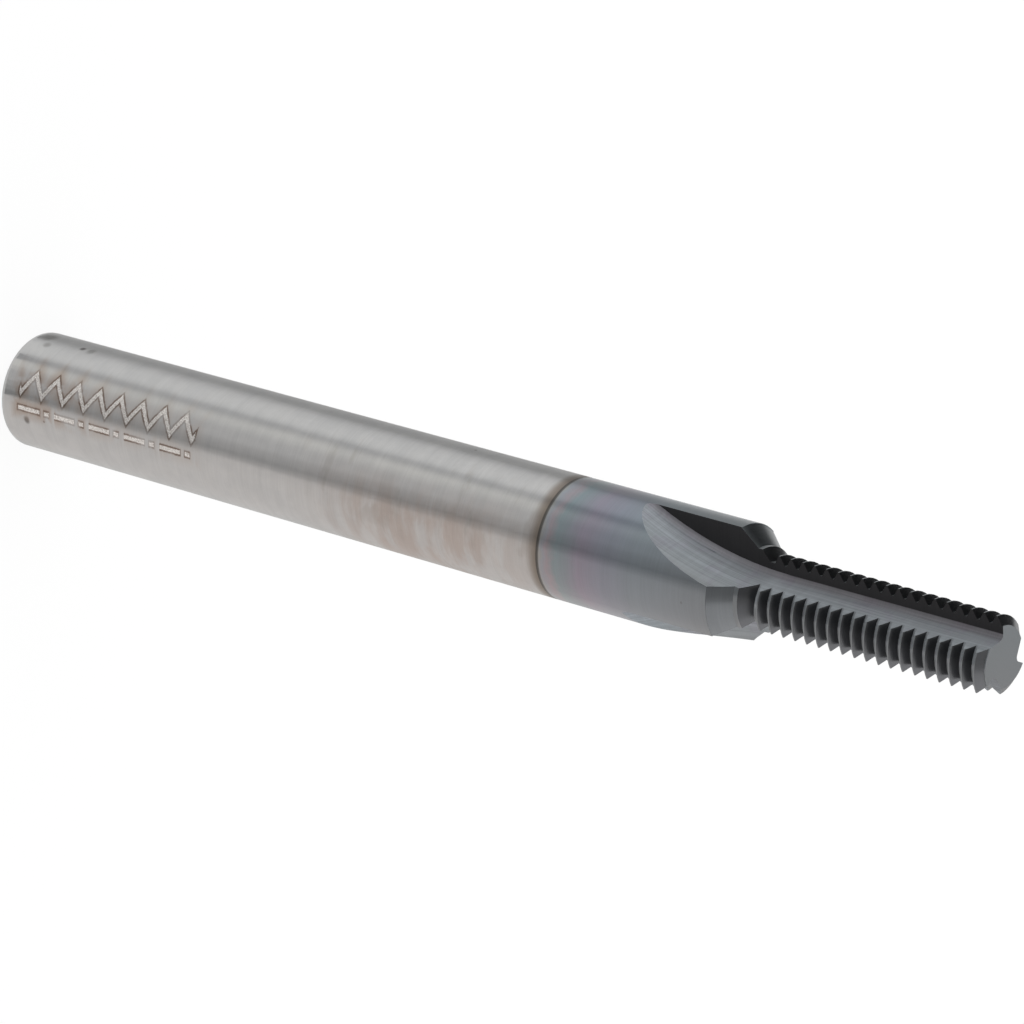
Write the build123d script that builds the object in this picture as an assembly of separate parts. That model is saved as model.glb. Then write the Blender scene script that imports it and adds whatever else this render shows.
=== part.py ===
from build123d import *
from math import atan2, cos, degrees, hypot, radians, sin, sqrt, tan
import os

# Solid carbide thread mill, one ground piece, standing on its shank end with the cutting end up.
# The axis of the tool is Z and the centre of the shank's end face is the origin.
# Lengths are in millimetres and angles in degrees.

# Shank
overall_length = 63.5
shank_diameter = 6.35
shank_length = 48.2
end_chamfer = 0.05

# Neck between the shank and the cutting teeth
shoulder_step = 0.03
neck_cone_length = 0.99
collar_diameter = 4.56
collar_width = 0.25
collar_flank_angle = 52.5

# Teeth: separate rings, not a helix, with the form relief ground behind each cutting edge
cutter_diameter = 4.318
threads_per_inch = 36
tooth_count = 19
thread_angle = 60.0
crest_flat = 0.07
root_flat = 0.13
relief_offset = 0.25

# Flutes: a flat rake face and a flat floor, running out into the shank
flute_count = 3
rake_face_angle = 20.5
rake_lead = 0.05
flute_corner_angle = 94.5
web_radius = 1.05
flute_corner_radius = 0.28
runout_start = 51.0
runout_wheel_radius = 17.7
runout_skew = -9.8

# Values worked out from the sizes above
inch = 25.4
pitch = inch / threads_per_inch
tooth_height = (pitch - crest_flat - root_flat) / 2 / tan(radians(thread_angle / 2))
shank_radius = shank_diameter / 2
crest_radius = cutter_diameter / 2
collar_radius = collar_diameter / 2
collar_start = shank_length + neck_cone_length
collar_end = collar_start + collar_width
land_spacing = 360 / flute_count
cutting_edge_angle = rake_face_angle + degrees(atan2(rake_lead, sqrt(crest_radius**2 - rake_lead**2)))


def direction(angle):
    """Unit vector square to the axis, at an angle from X."""
    return Vector(cos(radians(angle)), sin(radians(angle)), 0)


def revolved(points):
    """Solid of revolution about Z from (radius, height) points."""
    outline = Polyline(*points, close=True)
    return revolve(Plane.XZ * make_face(outline), axis=Axis.Z)


def shank_and_neck():
    """Chamfered shank, the steep cone behind the teeth, and the narrow collar with its front flank."""
    buried_radius = web_radius
    flank_length = (collar_radius - buried_radius) / tan(radians(collar_flank_angle))
    return revolved([
        (0, 0),
        (shank_radius - end_chamfer, 0),
        (shank_radius, end_chamfer),
        (shank_radius, shank_length),
        (shank_radius - shoulder_step, shank_length),
        (collar_radius, collar_start),
        (collar_radius, collar_end),
        (buried_radius, collar_end + flank_length),
        (0, collar_end + flank_length),
    ])


def tooth_rings():
    """All tooth rings as one bar. Its crests are as far from the relief centre as the cutting edge is."""
    crest = hypot(crest_radius, relief_offset)
    root = crest - tooth_height
    flank = (pitch - crest_flat - root_flat) / 2
    points = [(0, shank_length), (root, shank_length)]
    for number in range(tooth_count):
        middle = overall_length - pitch * (tooth_count - number - 0.5)
        points.append((root, middle - crest_flat / 2 - flank))
        points.append((crest, middle - crest_flat / 2))
        points.append((crest, middle + crest_flat / 2))
        points.append((root, middle + crest_flat / 2 + flank))
    points.append((root, overall_length))
    points.append((0, overall_length))
    return revolved(points)


def land_sector(edge_angle):
    """Wedge that holds one land: its sides lie in the flutes before and behind it."""
    reach = shank_diameter
    ahead = edge_angle + land_spacing / 4
    behind = ahead - land_spacing
    corners = [direction(behind + land_spacing * part / 3) * reach for part in range(4)]
    outline = Polyline((0, 0), *[(corner.X, corner.Y) for corner in corners], close=True)
    return extrude(make_face(outline), overall_length + reach)


def relieved_land(rings, edge_angle):
    """One land. Its rings are centred off the axis, so that they fall away behind the cutting edge."""
    return Pos(direction(edge_angle + 90) * relief_offset) * rings & land_sector(edge_angle)


def flute_cutter(rake_angle):
    """Room that the wheel sweeps: flat floor beside the web, then the wheel's arc out through the shank."""
    depth = shank_radius - web_radius + flute_corner_radius
    arc_reach = sqrt(2 * runout_wheel_radius * depth - depth**2)
    front = overall_length - runout_start + shank_diameter
    arc_sweep = degrees(atan2(arc_reach, runout_wheel_radius - depth))
    wheel_arc = CenterArc((0, runout_wheel_radius), runout_wheel_radius, 270, -arc_sweep)
    rest = Polyline((-arc_reach, depth), (front, depth), (front, 0), (0, 0))
    skew = radians(runout_skew)
    across = Plane(
        origin=(web_radius, 0, runout_start),
        x_dir=(0, sin(skew), cos(skew)),
        z_dir=(0, cos(skew), -sin(skew)),
    )
    swept = extrude(across * make_face([wheel_arc, rest]), runout_wheel_radius, both=True)
    block = 2 * overall_length
    beside_rake_face = Pos(0, rake_lead + block / 2, 0) * Box(block, block, block + overall_length)
    open_angle = flute_corner_angle - 90
    room = swept & (Rot(0, 0, -open_angle) * beside_rake_face)
    rake_edges = room.faces().sort_by(Axis.Y)[0].edges()
    along_floor = rake_edges.filter_by(Axis.Z).sort_by(Axis.X)[:1]
    along_wheel_arc = rake_edges.filter_by(GeomType.LINE, reverse=True)
    rounded = fillet(along_floor + along_wheel_arc, flute_corner_radius)
    return Rot(0, 0, rake_angle + open_angle) * rounded


def thread_mill():
    """The whole tool: shank, neck and three relieved lands, then the three flutes."""
    rings = tooth_rings()
    body = shank_and_neck()
    for number in range(flute_count):
        body += relieved_land(rings, cutting_edge_angle + number * land_spacing)
    for number in range(flute_count):
        body -= flute_cutter(rake_face_angle + number * land_spacing)
    return body


os.makedirs("parts", exist_ok=True)
tool = thread_mill()
tool.label = "thread_mill"
export_step(tool, "parts/thread_mill.step")
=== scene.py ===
import bpy
from math import cos, radians, sin
from mathutils import Matrix, Vector


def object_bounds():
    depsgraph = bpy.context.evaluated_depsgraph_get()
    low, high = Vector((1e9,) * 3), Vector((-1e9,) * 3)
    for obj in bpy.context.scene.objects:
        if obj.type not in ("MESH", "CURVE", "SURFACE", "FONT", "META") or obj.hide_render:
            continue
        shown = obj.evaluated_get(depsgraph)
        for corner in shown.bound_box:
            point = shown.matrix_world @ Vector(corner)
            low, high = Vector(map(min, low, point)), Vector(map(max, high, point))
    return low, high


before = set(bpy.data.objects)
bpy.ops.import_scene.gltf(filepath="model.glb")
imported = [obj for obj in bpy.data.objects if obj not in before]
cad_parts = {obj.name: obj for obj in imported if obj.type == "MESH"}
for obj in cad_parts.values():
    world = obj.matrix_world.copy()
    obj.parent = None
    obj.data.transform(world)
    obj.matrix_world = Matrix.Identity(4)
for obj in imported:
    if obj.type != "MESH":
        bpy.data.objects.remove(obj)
cad_low, cad_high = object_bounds()

MM = 0.001
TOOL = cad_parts["thread_mill"]
TOOL_LENGTH = cad_high.z

# Sizes of the tool that its material follows, in millimetres and degrees
SHANK_RADIUS = cad_high.x / MM
COATING_START = 37.63
FLUTE_COUNT = 3
RAKE_FACE_ANGLE = 20.5
FLUTE_WIDTH = 3.0

# How much a turned face looks toward the tip: front flanks of teeth and collar, and the neck cone
FRONT_FLANK = 0.84
NECK_CONE = 0.66

# Colours of the bare metal and the marks on it
BARE_DULL = (0.480, 0.480, 0.477, 1)
BARE_LIGHT = (0.51, 0.508, 0.502, 1)
BROWN_CLOUD = (0.425, 0.375, 0.347, 1)
BROWN_SMEAR = (0.330, 0.300, 0.275, 1)
BRONZE_EDGE = (0.205, 0.172, 0.142, 1)
DARK_SEAM = (0.072, 0.068, 0.062, 1)
DARK_SPOT = (0.075, 0.065, 0.055, 1)
SIGN_HALO = (0.36, 0.285, 0.235, 1)
SIGN_RIM = (0.17, 0.125, 0.10, 1)
SIGN_DULL = (0.62, 0.585, 0.55, 1)
SIGN_LIGHT = (0.98, 0.95, 0.92, 1)

# Colours that paint shade onto the rake faces, front flanks, neck cone and end face, and what tints the
# coating from one side of the tool to the other
RAKE_FACE_PAINTED_SHADE = (0.055, 0.055, 0.058, 1)
FRONT_FLANK_PAINTED_SHADE = (0.030, 0.030, 0.034, 1)
NECK_CONE_PAINTED_SHADE = (0.080, 0.080, 0.084, 1)
END_FACE_PAINTED_SHADE = (0.100, 0.102, 0.105, 1)
WARM_TINT = (1.03, 0.98, 0.96, 1)
COOL_TINT = (0.97, 1.03, 1.04, 1)
PATCH_TINT = (0.98, 0.945, 0.975, 1)

# Interference colours: share of the way from the coating's edge to where they have faded, and colour
FADED_AFTER = 12.0
COATING_COLOURS = [
    (0.0, (0.285, 0.280, 0.268)),
    (0.025, (0.262, 0.272, 0.300)),
    (0.055, (0.280, 0.243, 0.265)),
    (0.095, (0.192, 0.236, 0.253)),
    (0.15, (0.208, 0.228, 0.256)),
    (0.22, (0.236, 0.214, 0.264)),
    (0.34, (0.210, 0.222, 0.264)),
    (0.50, (0.198, 0.226, 0.252)),
    (1.0, (0.180, 0.196, 0.208)),
]

# Flute floor, with painted shade darkening it in the corner by the rake face: share of its width away from
# the rake face, and colour
FLUTE_COLOURS_AND_PAINTED_SHADE = [
    (0.00, (0.190, 0.186, 0.198)),
    (0.04, (0.250, 0.250, 0.270)),
    (0.12, (0.272, 0.290, 0.312)),
    (0.50, (0.292, 0.318, 0.338)),
    (1.00, (0.255, 0.272, 0.282)),
]

# Etched sign near the shank's end, in millimetres: a thread form over a chain line
SIGN_ANGLE = 86.1   # degrees round the shank
SIGN_START = 1.4
SIGN_END = 14.1
FORM_PITCH = 1.58
FORM_DEPTH = 1.15
FORM_LEVEL = -0.15
CHAIN_LEVEL = -0.98
CHAIN_REPEAT = 2.6
LONG_DASH = 1.45
SHORT_DASH_MIDDLE = 2.02
SHORT_DASH_HALF = 0.12

# Camera: where it stands, the point it looks at, and its roll, with the lens on a 36 mm sensor
CAMERA_PLACE = Vector((33.875, 197.762, 185.245)) * MM
CAMERA_AIM = Vector((0.436, 0.0, 33.300)) * MM
CAMERA_ROLL = radians(105.59)
CAMERA_LENS = 174.84
CAMERA_AZIMUTH = 80.4   # degrees round the tool, as the cards on the floor take it

# Grey cards laid on the floor, for the ground metal to mirror: the angle round the shank at which
# each one begins to show, and its level in red, green and blue
CARDS = [
    (-14, (1.00, 1.00, 1.00)),
    (-1, (0.97, 0.97, 0.97)),
    (2, (0.78, 0.78, 0.78)),
    (7, (0.62, 0.62, 0.62)),
    (13, (0.53, 0.53, 0.53)),
    (19.5, (0.36, 0.36, 0.36)),
    (25.5, (0.80, 0.80, 0.81)),
    (31, (1.00, 1.00, 1.00)),
    (50.8, (0.51, 0.51, 0.52)),
    (57.5, (1.00, 0.99, 0.96)),
    (65, (0.85, 0.84, 0.83)),
    (69, (0.74, 0.73, 0.73)),
    (80, (0.60, 0.59, 0.59)),
    (85, (0.51, 0.50, 0.50)),
    (89.5, (0.35, 0.35, 0.35)),
    (94.7, (0.91, 0.87, 0.85)),
    (146, (0.82, 0.80, 0.78)),
    (155, (0.66, 0.66, 0.66)),
    (163, (0.55, 0.55, 0.55)),
    (175, (0.55, 0.55, 0.55)),
]

# Reach, height and smoothness of the cards, then the floor, in metres, and the soft light from all round
CARD_REACH = 0.6
CARD_LIFT = 0.2 * MM
CARD_STEPS = 12
FLOOR_RADIUS = 3.0
FLOOR_GLOW = 0.88   # how far the floor is white of itself; the rest takes the tool's shadow
WORLD_LIGHT = 0.85

# Dark spots left on the metal: place in millimetres, radius and strength
SPOTS = [
    ((3.05, 0.90, 0.85), 0.60, 0.45),
    ((2.70, 1.67, 1.36), 0.32, 0.40),
    ((2.93, 1.23, 3.61), 0.26, 0.75),
    ((2.91, 1.27, 4.27), 0.36, 0.40),
    ((-1.36, 2.87, 1.88), 0.30, 0.75),
    ((-1.19, 2.94, 3.20), 0.10, 0.70),
    ((3.11, 0.63, 30.83), 0.10, 0.60),
    ((-1.13, 2.97, 46.72), 0.10, 0.35),
]


def make_camera():
    """The photograph's viewpoint."""
    data = bpy.data.cameras.new("camera")
    data.sensor_width = 36
    data.lens = CAMERA_LENS
    data.clip_start = 0.01
    data.clip_end = 20
    camera = bpy.data.objects.new("camera", data)
    bpy.context.scene.collection.objects.link(camera)
    turn = (CAMERA_AIM - CAMERA_PLACE).to_track_quat("-Z", "Y").to_matrix().to_4x4()
    camera.matrix_world = Matrix.Translation(CAMERA_PLACE) @ turn @ Matrix.Rotation(CAMERA_ROLL, 4, "Z")
    bpy.context.scene.camera = camera


class Tree:
    """A node tree that is built by short calls."""

    def __init__(self, tree):
        self.tree = tree
        tree.nodes.clear()

    def add(self, kind, inputs=None, **settings):
        """Adds a node. An input is a value, or a socket that is linked to it."""
        node = self.tree.nodes.new(kind)
        for name, value in settings.items():
            setattr(node, name, value)
        for key, value in (inputs or {}).items():
            if isinstance(value, bpy.types.NodeSocket):
                self.tree.links.new(value, node.inputs[key])
            else:
                node.inputs[key].default_value = value
        return node

    def math(self, operation, first, second=0.0):
        """One sum on two values."""
        return self.add("ShaderNodeMath", {0: first, 1: second}, operation=operation).outputs[0]

    def range(self, value, low, high, out_low=0.0, out_high=1.0, kind="SMOOTHSTEP"):
        """A value carried from one range into another, without leaving it."""
        node = self.add(
            "ShaderNodeMapRange",
            {"Value": value, "From Min": low, "From Max": high, "To Min": out_low, "To Max": out_high},
            interpolation_type=kind,
        )
        return node.outputs[0]

    def band(self, value, middle, half_width, softness):
        """One near a middle value, falling to zero on both sides."""
        away = self.math("ABSOLUTE", self.math("SUBTRACT", value, middle))
        return self.range(away, half_width, half_width + softness, 1.0, 0.0)

    def mix(self, share, first, second, blend="MIX"):
        """Two colours mixed."""
        node = self.add("ShaderNodeMix", {0: share, 6: first, 7: second}, data_type="RGBA", blend_type=blend)
        return node.outputs[2]

    def ramp(self, value, stops):
        """Colour from (place, colour) stops."""
        node = self.add("ShaderNodeValToRGB", {0: value})
        elements = node.color_ramp.elements
        elements[0].position = stops[0][0]
        elements[0].color = (*stops[0][1], 1)
        elements[-1].position = stops[-1][0]
        elements[-1].color = (*stops[-1][1], 1)
        for place, colour in stops[1:-1]:
            elements.new(place).color = (*colour, 1)
        return node.outputs[0]

    def noise(self, vector, scale=1.0, detail=2.0, roughness=0.5):
        """Noise in space, from 0 to 1."""
        inputs = {"Vector": vector, "Scale": scale, "Detail": detail, "Roughness": roughness}
        return self.add("ShaderNodeTexNoise", inputs).outputs["Fac"]

    def vector(self, operation, first, second):
        """Outputs of one sum on two vectors."""
        return self.add("ShaderNodeVectorMath", {0: first, 1: second}, operation=operation).outputs

    def scaled(self, vector, factor):
        """A vector or colour times a number."""
        return self.add("ShaderNodeVectorMath", {0: vector, 3: factor}, operation="SCALE").outputs[0]

    def stretched(self, vector, around, along):
        """Vector with its own scale along the tool's axis."""
        return self.vector("MULTIPLY", vector, (around, around, along))[0]

    def spread_about(self, value, width):
        """A noise value as a number about zero, width wide."""
        return self.math("MULTIPLY", self.math("SUBTRACT", value, 0.5), width)


def new_material(name):
    """An empty material and its node tree."""
    material = bpy.data.materials.new(name)
    material.use_nodes = True
    return material, Tree(material.node_tree)


def background_rays(tree):
    """One for rays that see the background: straight, mirrored or through glass."""
    path = tree.add("ShaderNodeLightPath")
    mirrored = tree.math("MAXIMUM", path.outputs["Is Glossy Ray"], path.outputs["Is Transmission Ray"])
    return tree.math("MAXIMUM", path.outputs["Is Camera Ray"], mirrored)


def make_world():
    """Even soft light from all round, and white behind everything."""
    world = bpy.data.worlds.new("studio")
    world.use_nodes = True
    bpy.context.scene.world = world
    tree = Tree(world.node_tree)
    light = tree.add("ShaderNodeBackground", {"Color": (1, 1, 1, 1), "Strength": WORLD_LIGHT})
    white = tree.add("ShaderNodeBackground", {"Color": (1, 1, 1, 1), "Strength": 1.0})
    seen = background_rays(tree)
    mixed = tree.add("ShaderNodeMixShader", {0: seen, 1: light.outputs[0], 2: white.outputs[0]})
    tree.add("ShaderNodeOutputWorld", {0: mixed.outputs[0]})


def make_floor():
    """White floor that keeps the tool's shadow."""
    bpy.ops.mesh.primitive_circle_add(vertices=96, radius=FLOOR_RADIUS, fill_type="NGON")
    floor = bpy.context.object
    floor.name = "floor"
    material, tree = new_material("floor_white")
    paper = tree.add("ShaderNodeBsdfDiffuse", {"Color": (0.9, 0.9, 0.9, 1)})
    glow = tree.add("ShaderNodeEmission", {"Color": (1, 1, 1, 1), "Strength": 1.0})
    share = tree.math("MULTIPLY", background_rays(tree), FLOOR_GLOW)
    mixed = tree.add("ShaderNodeMixShader", {0: share, 1: paper.outputs[0], 2: glow.outputs[0]})
    tree.add("ShaderNodeOutputMaterial", {0: mixed.outputs[0]})
    floor.data.materials.append(material)


def make_card(name, points, faces, level):
    """An evenly glowing card that shows only in reflections."""
    mesh = bpy.data.meshes.new(name)
    mesh.from_pydata(points, [], faces)
    card = bpy.data.objects.new(name, mesh)
    bpy.context.scene.collection.objects.link(card)
    material, tree = new_material(name)
    glow = tree.add("ShaderNodeEmission", {"Color": (*level, 1), "Strength": 1.0})
    tree.add("ShaderNodeOutputMaterial", {0: glow.outputs[0]})
    mesh.materials.append(material)
    card.visible_camera = False
    card.visible_diffuse = False
    card.visible_shadow = False


def strip_faces():
    """Faces of a strip whose points go in pairs across it."""
    return [(2 * step, 2 * step + 1, 2 * step + 3, 2 * step + 2) for step in range(CARD_STEPS)]


def make_floor_cards():
    """Cards fanned out on the floor, each between two lines that the shank mirrors at set angles round it."""
    for number, ((start, level), (end, _)) in enumerate(zip(CARDS, CARDS[1:])):
        points = []
        for step in range(CARD_STEPS + 1):
            angle = radians(start + (end - start) * step / CARD_STEPS)
            mirrored = 2 * angle - radians(CAMERA_AZIMUTH)
            near = SHANK_RADIUS * MM * Vector((cos(angle), sin(angle), 0))
            far = near + CARD_REACH * Vector((cos(mirrored), sin(mirrored), 0))
            points += [(near.x, near.y, CARD_LIFT), (far.x, far.y, CARD_LIFT)]
        make_card("card_%d" % number, points, strip_faces(), level)


def make_panel(name, distance, azimuth, sweep, elevations, level):
    """A curved panel standing round the tool, for the neck and the flanks of the teeth to mirror."""
    points = []
    for step in range(CARD_STEPS + 1):
        angle = radians(azimuth + sweep * step / CARD_STEPS)
        for elevation in elevations:
            e = radians(elevation)
            points.append((distance * cos(angle) * cos(e), distance * sin(angle) * cos(e), distance * sin(e)))
    make_card(name, points, strip_faces(), (level, level, level))


def make_lamp(name, azimuth, elevation, distance, size, power):
    """Soft square lamp aimed at the middle of the tool."""
    data = bpy.data.lights.new(name, "AREA")
    data.size = size
    data.energy = power
    lamp = bpy.data.objects.new(name, data)
    bpy.context.scene.collection.objects.link(lamp)
    a, e = radians(azimuth), radians(elevation)
    aim = Vector((0, 0, TOOL_LENGTH / 2))
    place = aim + distance * Vector((cos(a) * cos(e), sin(a) * cos(e), sin(e)))
    turn = (aim - place).to_track_quat("-Z", "Y").to_matrix().to_4x4()
    lamp.matrix_world = Matrix.Translation(place) @ turn


def distance_from_sign(tree, along, around):
    """Distance in millimetres from the strokes of the etched sign."""
    from_start = tree.math("SUBTRACT", along, SIGN_START)
    half_pitch = FORM_PITCH / 2
    wave = tree.math("MULTIPLY", tree.math("PINGPONG", from_start, half_pitch), FORM_DEPTH / half_pitch)
    wave = tree.math("ADD", wave, FORM_LEVEL)
    slope = (1 + (FORM_DEPTH / half_pitch) ** 2) ** 0.5
    form = tree.math("DIVIDE", tree.math("ABSOLUTE", tree.math("SUBTRACT", around, wave)), slope)
    line = tree.math("ABSOLUTE", tree.math("SUBTRACT", around, CHAIN_LEVEL))
    dash = tree.math("MODULO", from_start, CHAIN_REPEAT)
    past_long_dash = tree.math("SUBTRACT", dash, LONG_DASH)
    from_short_dash = tree.math("ABSOLUTE", tree.math("SUBTRACT", dash, SHORT_DASH_MIDDLE))
    past_short_dash = tree.math("SUBTRACT", from_short_dash, SHORT_DASH_HALF)
    gap = tree.math("MAXIMUM", tree.math("MINIMUM", past_long_dash, past_short_dash), 0.0)
    line = tree.math("MAXIMUM", line, tree.math("MULTIPLY", gap, 2.0))
    nearest = tree.math("MINIMUM", form, line)
    before_start = tree.math("SUBTRACT", SIGN_START, along)
    past_end = tree.math("SUBTRACT", along, SIGN_END)
    return tree.math("MAXIMUM", nearest, tree.math("MAXIMUM", before_start, past_end))


class Surface:
    """Where a point of the tool is and which surface it lies on, as sockets of the material's tree."""

    def __init__(self, tree):
        texture = tree.add("ShaderNodeTexCoord")
        self.normal = texture.outputs["Normal"]
        self.place = tree.scaled(texture.outputs["Object"], 1 / MM)
        parts = tree.add("ShaderNodeSeparateXYZ", {0: self.place})
        self.x = parts.outputs["X"]
        self.along = parts.outputs["Z"]
        self.angle = tree.math("ARCTAN2", parts.outputs["Y"], self.x)

        # How far from the axis, how much it faces outward, how much toward the tip
        from_axis = tree.vector("MULTIPLY", self.place, (1, 1, 0))[0]
        self.radius = tree.add("ShaderNodeVectorMath", {0: from_axis}, operation="LENGTH").outputs["Value"]
        toward = tree.vector("DOT_PRODUCT", from_axis, self.normal)["Value"]
        outward = tree.math("DIVIDE", toward, self.radius)
        self.tipward = tree.add("ShaderNodeSeparateXYZ", {0: self.normal}).outputs["Z"]

        # A flute's faces stand steeply, and they face less outward than the shank or lie close to the axis
        upright = tree.range(self.tipward, 0.56, 0.62, 1.0, 0.0)
        steep = tree.math("MULTIPLY", upright, tree.range(self.tipward, -0.4, -0.3))
        turned_away = tree.range(outward, 0.955, 0.975, 1.0, 0.0)
        inside = tree.math("MAXIMUM", turned_away, tree.range(self.radius, 1.56, 1.62, 1.0, 0.0))
        self.flute = tree.math("MULTIPLY", steep, inside)
        self.rake = tree.math("MULTIPLY", self.flute, tree.range(outward, 0.06, 0.20, 1.0, 0.0))
        self.flank = tree.band(self.tipward, FRONT_FLANK, 0.06, 0.03)
        self.cone = tree.band(self.tipward, NECK_CONE, 0.02, 0.02)
        self.end_face = tree.range(self.tipward, 0.96, 0.98)
        self.coated = tree.range(self.along, COATING_START - 0.02, COATING_START + 0.03)

        # Grinding lines run round the tool; mottling is wider
        self.fine = tree.noise(tree.stretched(self.place, 0.35, 14.0), detail=3.0, roughness=0.65)
        self.coarse = tree.noise(tree.stretched(self.place, 0.12, 1.6), detail=2.0, roughness=0.5)
        self.mottle = tree.noise(self.place, scale=0.9, detail=3.0, roughness=0.6)


def bare_colour(tree, at):
    """Bare metal, with brown clouds and smears before the coating and a bronze tint along its edge."""
    plain = tree.range(at.mottle, 0.35, 0.65)
    colour = tree.mix(plain, BARE_DULL, BARE_LIGHT)

    zone = tree.math("MULTIPLY", tree.range(at.along, 20.0, 28.0), tree.range(at.angle, 1.0, 1.8))
    zone = tree.math("MULTIPLY", zone, tree.range(at.along, 33.0, 37.0, 1.0, 0.4))
    cloud = tree.noise(tree.stretched(at.place, 0.28, 0.8), detail=4.0, roughness=0.62)
    cloud = tree.range(cloud, 0.36, 0.60, 0.25, 1.0)
    colour = tree.mix(tree.math("MULTIPLY", zone, cloud), colour, BROWN_CLOUD)

    zone = tree.math("MULTIPLY", tree.range(at.along, 19.0, 26.0), tree.range(at.angle, 0.5, 1.0))
    zone = tree.math("MULTIPLY", zone, tree.range(at.angle, 1.9, 2.6, 1.0, 0.3))
    smear = tree.noise(tree.stretched(at.place, 0.45, 1.2), detail=3.0, roughness=0.55)
    smear = tree.range(smear, 0.53, 0.68, 0.0, 0.34)
    colour = tree.mix(tree.math("MULTIPLY", zone, smear), colour, BROWN_SMEAR)

    wandering = tree.math("ADD", at.along, tree.spread_about(at.coarse, 0.25))
    tint = tree.range(wandering, COATING_START - 0.85, COATING_START - 0.15)
    return tree.mix(tree.math("MULTIPLY", tint, 0.90), colour, BRONZE_EDGE)


def flute_floor_colour(tree, at):
    """Colour of a flute's floor: streaks along it, with painted shade darker in the corner and painted light
    where it runs out.
    """
    spacing = 360 / FLUTE_COUNT
    turned = tree.math("ADD", at.angle, radians(360 - RAKE_FACE_ANGLE))
    turned = tree.math("MODULO", turned, radians(spacing))
    from_rake = tree.math("MULTIPLY", at.radius, tree.math("SINE", turned))
    # Painted shade: the floor darker close to the rake face's corner
    colour = tree.ramp(tree.math("DIVIDE", from_rake, FLUTE_WIDTH), FLUTE_COLOURS_AND_PAINTED_SHADE)
    patch = tree.range(at.mottle, 0.50, 0.64)
    colour = tree.mix(patch, colour, PATCH_TINT, "MULTIPLY")
    across = tree.math("MULTIPLY", from_rake, 9.0)
    lines = tree.add("ShaderNodeCombineXYZ", {0: across, 1: tree.math("MULTIPLY", at.along, 0.12)})
    streak = tree.noise(lines.outputs[0], detail=3.0, roughness=0.6)
    streak = tree.range(streak, 0.3, 0.7, 0.86, 1.14)
    # Painted light: the floor's colour raised all over, most where the flute runs out
    strength = tree.math("MULTIPLY", streak, tree.range(at.along, 46.5, 54.0, 1.45, 1.15))
    return tree.scaled(colour, strength)


def coating_colour(tree, at):
    """Dark coating, with interference colours close to its edge, the flute floor's colour, and painted shade
    on the rake faces, front flanks, neck cone and end face.
    """
    uneven = tree.math("ADD", at.along, tree.spread_about(at.mottle, 1.2))
    past_edge = tree.range(uneven, COATING_START, COATING_START + FADED_AFTER, kind="LINEAR")
    colour = tree.ramp(past_edge, COATING_COLOURS)
    tint = tree.mix(tree.range(at.x, -3.0, 3.0), WARM_TINT, COOL_TINT)
    colour = tree.mix(1.0, colour, tint, "MULTIPLY")
    colour = tree.mix(at.flute, colour, flute_floor_colour(tree, at))
    # Painted shade: the rake faces darkened in their colour, standing in for the dark surroundings they
    # mirror
    colour = tree.mix(at.rake, colour, RAKE_FACE_PAINTED_SHADE)
    # Painted shade: the front flanks of the teeth and collar darkened by which way they face
    colour = tree.mix(tree.math("MULTIPLY", at.flank, 0.9), colour, FRONT_FLANK_PAINTED_SHADE)
    # Painted shade: the neck cone darkened by which way it faces
    colour = tree.mix(tree.math("MULTIPLY", at.cone, 0.4), colour, NECK_CONE_PAINTED_SHADE)
    # Painted shade: the end face darkened by which way it faces
    return tree.mix(tree.math("MULTIPLY", at.end_face, 0.3), colour, END_FACE_PAINTED_SHADE)


def with_spots(tree, at, colour):
    """The colour with the dark spots on it."""
    for centre, size, strength in SPOTS:
        away = tree.vector("DISTANCE", at.place, centre)["Value"]
        away = tree.math("ADD", away, tree.spread_about(at.mottle, size))
        share = tree.math("MULTIPLY", tree.range(away, size * 0.3, size, 1.0, 0.0), strength)
        colour = tree.mix(share, colour, DARK_SPOT)
    return colour


def with_sign(tree, at, colour):
    """The colour with the etched sign on it, pale with a burnt rim in a faint brown halo, and its strokes."""
    around = tree.math("MULTIPLY", tree.math("SUBTRACT", radians(SIGN_ANGLE), at.angle), SHANK_RADIUS)
    ragged = tree.spread_about(tree.noise(at.place, scale=9.0, detail=2.0, roughness=0.6), 0.10)
    away = tree.math("ADD", distance_from_sign(tree, at.along, around), ragged)
    scorch = tree.range(away, 0.05, 0.90, 0.80, 0.0)
    halo = tree.math("MULTIPLY", scorch, tree.range(at.mottle, 0.32, 0.54))
    halo = tree.math("MULTIPLY", halo, tree.range(at.along, 3.0, 9.0, 1.0, 0.35))
    colour = tree.mix(halo, colour, SIGN_HALO)
    burnt = tree.range(at.mottle, 0.38, 0.62, 0.35, 0.95)
    rim = tree.math("MULTIPLY", tree.band(away, 0.155, 0.02, 0.075), burnt)
    colour = tree.mix(rim, colour, SIGN_RIM)
    stroke = tree.range(away, 0.09, 0.13, 1.0, 0.0)
    speckle = tree.range(tree.noise(at.place, scale=16.0, detail=2.0, roughness=0.6), 0.35, 0.60)
    pale = tree.mix(speckle, SIGN_DULL, SIGN_LIGHT)
    return tree.mix(stroke, colour, pale), stroke


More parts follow.
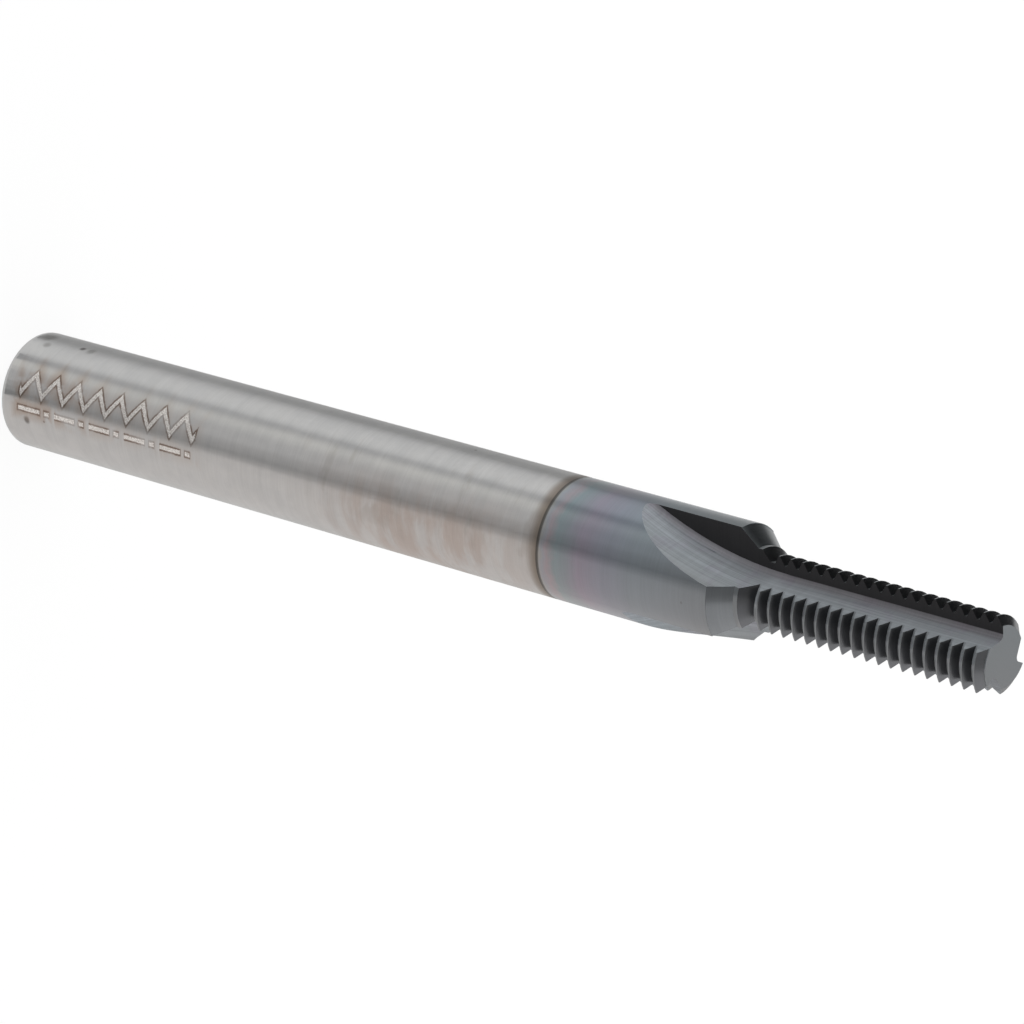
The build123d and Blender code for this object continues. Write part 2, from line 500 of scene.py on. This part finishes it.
def carbide_material():
    """Ground carbide: bare on the shank, coated from the coating line to the tip, and etched near the end."""
    material, tree = new_material("carbide")
    at = Surface(tree)
    colour = tree.mix(at.coated, bare_colour(tree, at), coating_colour(tree, at))
    seam = tree.math("MULTIPLY", tree.band(at.along, COATING_START, 0.05, 0.08), 0.90)
    colour = tree.mix(seam, colour, DARK_SEAM)
    colour = with_spots(tree, at, colour)
    colour, stroke = with_sign(tree, at, colour)

    # Grinding lines in the colour, the gloss and the surface
    fine_shade = tree.range(at.fine, 0.3, 0.7, -0.04, 0.04)
    shade = tree.math("ADD", fine_shade, tree.range(at.coarse, 0.3, 0.7, -0.02, 0.02))
    colour = tree.scaled(colour, tree.math("ADD", shade, 1.0))
    ground = tree.range(at.fine, 0.3, 0.7, 0.30, 0.36)
    dull = tree.math("MULTIPLY", tree.math("MAXIMUM", stroke, at.flute), 0.55)
    roughness = tree.math("MAXIMUM", ground, dull)
    relief = tree.math("SUBTRACT", at.fine, stroke)
    bump = tree.add("ShaderNodeBump", {"Strength": 0.30, "Distance": 0.004 * MM, "Height": relief})
    coat = tree.math("MULTIPLY", at.coated, tree.range(at.flute, 0.0, 1.0, 0.6, 0.0))

    # The gloss spreads across the grinding lines: along the tool, but across the flutes
    lengthwise = (0.04, 0.02, 1.0, 1.0)
    across = tree.vector("CROSS_PRODUCT", (0, 0, 1), at.normal)[0]
    spread = tree.mix(at.flute, lengthwise, across)
    shader = tree.add("ShaderNodeBsdfPrincipled", {
        "Base Color": colour,
        "Metallic": 1.0,
        "Roughness": roughness,
        "Anisotropic": 0.92,
        "Tangent": spread,
        "Normal": bump.outputs[0],
        "Coat Weight": coat,
        "Coat Roughness": 0.22,
        "Coat IOR": 1.6,
        "Coat Normal": bump.outputs[0],
    })
    tree.add("ShaderNodeOutputMaterial", {0: shader.outputs[0]})
    return material


bpy.context.scene.view_settings.view_transform = "Standard"
make_camera()
make_world()
make_floor()
make_floor_cards()
make_panel("dark_side", distance=0.36, azimuth=-80, sweep=50, elevations=(1, 72), level=0.04)
make_panel("grey_back", distance=0.50, azimuth=30, sweep=100, elevations=(18, 75), level=0.36)
make_lamp("key", azimuth=215, elevation=50, distance=0.6, size=0.5, power=0.9)
make_lamp("fill", azimuth=-15, elevation=60, distance=0.7, size=0.5, power=1.2)
TOOL.data.materials.clear()
TOOL.data.materials.append(carbide_material())
